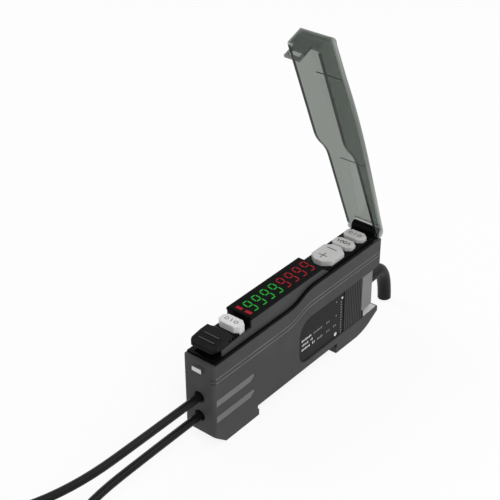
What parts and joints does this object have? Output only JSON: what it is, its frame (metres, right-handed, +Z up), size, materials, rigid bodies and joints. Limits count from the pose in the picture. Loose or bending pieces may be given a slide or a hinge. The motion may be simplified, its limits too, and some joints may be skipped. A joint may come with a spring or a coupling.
{
  "type": "fibre optic sensor amplifier",
  "caption": "Slim rail-mounted amplifier for plastic optical fibres, with a hinged smoked cover, digit display, keys and a fibre lock lever.",
  "frame": {"origin": "centre of the housing with its open cover, without the free cords, at the underside of the rail feet", "axes": "+Z up from the rail towards the keys and display, -X towards the fibre ports, +X towards the power cable, +Y across the slim housing"},
  "size_m": [0.2624, 0.02, 0.0983],
  "materials": {
    "body_plastic": "fine matte moulding",
    "cap_plastic": "fine matte moulding",
    "black_plastic": "satin",
    "frame_plastic": "satin",
    "lever_plastic": "satin",
    "key_rubber": "soft matte",
    "smoked_cover": "smoked clear plastic",
    "window": "dark clear plastic",
    "display": "potted digits",
    "board": "solder mask",
    "chip": "matte",
    "metal": "plated",
    "lamp": "clear tinted resin",
    "label": "printed film",
    "seal_rubber": "matte",
    "cable_jacket": "satin jacket",
    "fibre_jacket": "satin jacket"
  },
  "bodies": {
    "housing": {"case": "body_plastic", "side_label": "label", "rear_cap": "cap_plastic", "cable_grommet": "seal_rubber", "cable_crimp": "metal", "top_deck": "black_plastic", "display_frame": "frame_plastic", "display_window": "window", "green_display": "display", "red_display": "display", "bar_lamps": "lamp", "display_board": "board", "main_board": "board", "board_connector": "chip", "controller_chip": "chip", "capacitor": "metal", "optical_block": "black_plastic", "emitter_lamp": "lamp", "photodiode": "chip", "optics_board": "board", "clamp_spring": "metal", "lever_pin": "metal", "power_cable": "cable_jacket", "set_switch": "metal", "plus_switch": "metal", "minus_switch": "metal", "mode_switch": "metal", "select_switch": "metal", "emitter_port_seal": "seal_rubber", "emitter_fibre": "fibre_jacket", "emitter_fibre_tail": "fibre_jacket", "emitter_fibre_hank": "fibre_jacket", "emitter_head": "metal", "emitter_head_nuts": "metal", "receiver_port_seal": "seal_rubber", "receiver_fibre": "fibre_jacket", "receiver_fibre_tail": "fibre_jacket", "receiver_fibre_hank": "fibre_jacket", "receiver_head": "metal", "receiver_head_nuts": "metal"},
    "cover": {"dust_cover": "smoked_cover"},
    "lever": {"lock_lever": "lever_plastic"},
    "clamp": {"clamp_slider": "lever_plastic"},
    "set_button": {"set_key": "key_rubber"},
    "mode_button": {"mode_key": "key_rubber"},
    "select_button": {"select_key": "key_rubber"},
    "rocker": {"plus_minus_rocker": "key_rubber"}
  },
  "joints": [
    {"name": "cover_hinge", "type": "hinge", "parent": "housing", "child": "cover", "pos_m": [0.0355, 0, 0.0306], "axis": [0, 1, 0], "range_deg": [-68, 30]},
    {"name": "lever_hinge", "type": "hinge", "parent": "housing", "child": "lever", "pos_m": [-0.0276, 0, 0.029], "axis": [0, 1, 0], "range_deg": [0, 80]},
    {"name": "clamp_slide", "type": "slide", "parent": "housing", "child": "clamp", "axis": [0, 0, 1], "range_m": [0, 0.0009], "deforming": ["clamp_spring"]},
    {"name": "set_press", "type": "slide", "parent": "housing", "child": "set_button", "axis": [0, 0, -1], "range_m": [0, 0.0003], "stiffness_N_per_m": 4000, "springref_m": -0.0001},
    {"name": "mode_press", "type": "slide", "parent": "housing", "child": "mode_button", "axis": [0, 0, -1], "range_m": [0, 0.0003], "stiffness_N_per_m": 4000, "springref_m": -0.0001},
    {"name": "select_press", "type": "slide", "parent": "housing", "child": "select_button", "axis": [0, 0, -1], "range_m": [0, 0.0003], "stiffness_N_per_m": 4000, "springref_m": -0.0001},
    {"name": "rocker_tilt", "type": "hinge", "parent": "housing", "child": "rocker", "pos_m": [0.0176, 0, 0.02925], "axis": [0, 1, 0], "range_deg": [-3.5, 3.5], "stiffness_Nm_per_rad": 0.02}
  ],
  "couplings": [
    {"joint": "lever_hinge", "follows": "clamp_slide", "rad_per_m": 1550}
  ]
}
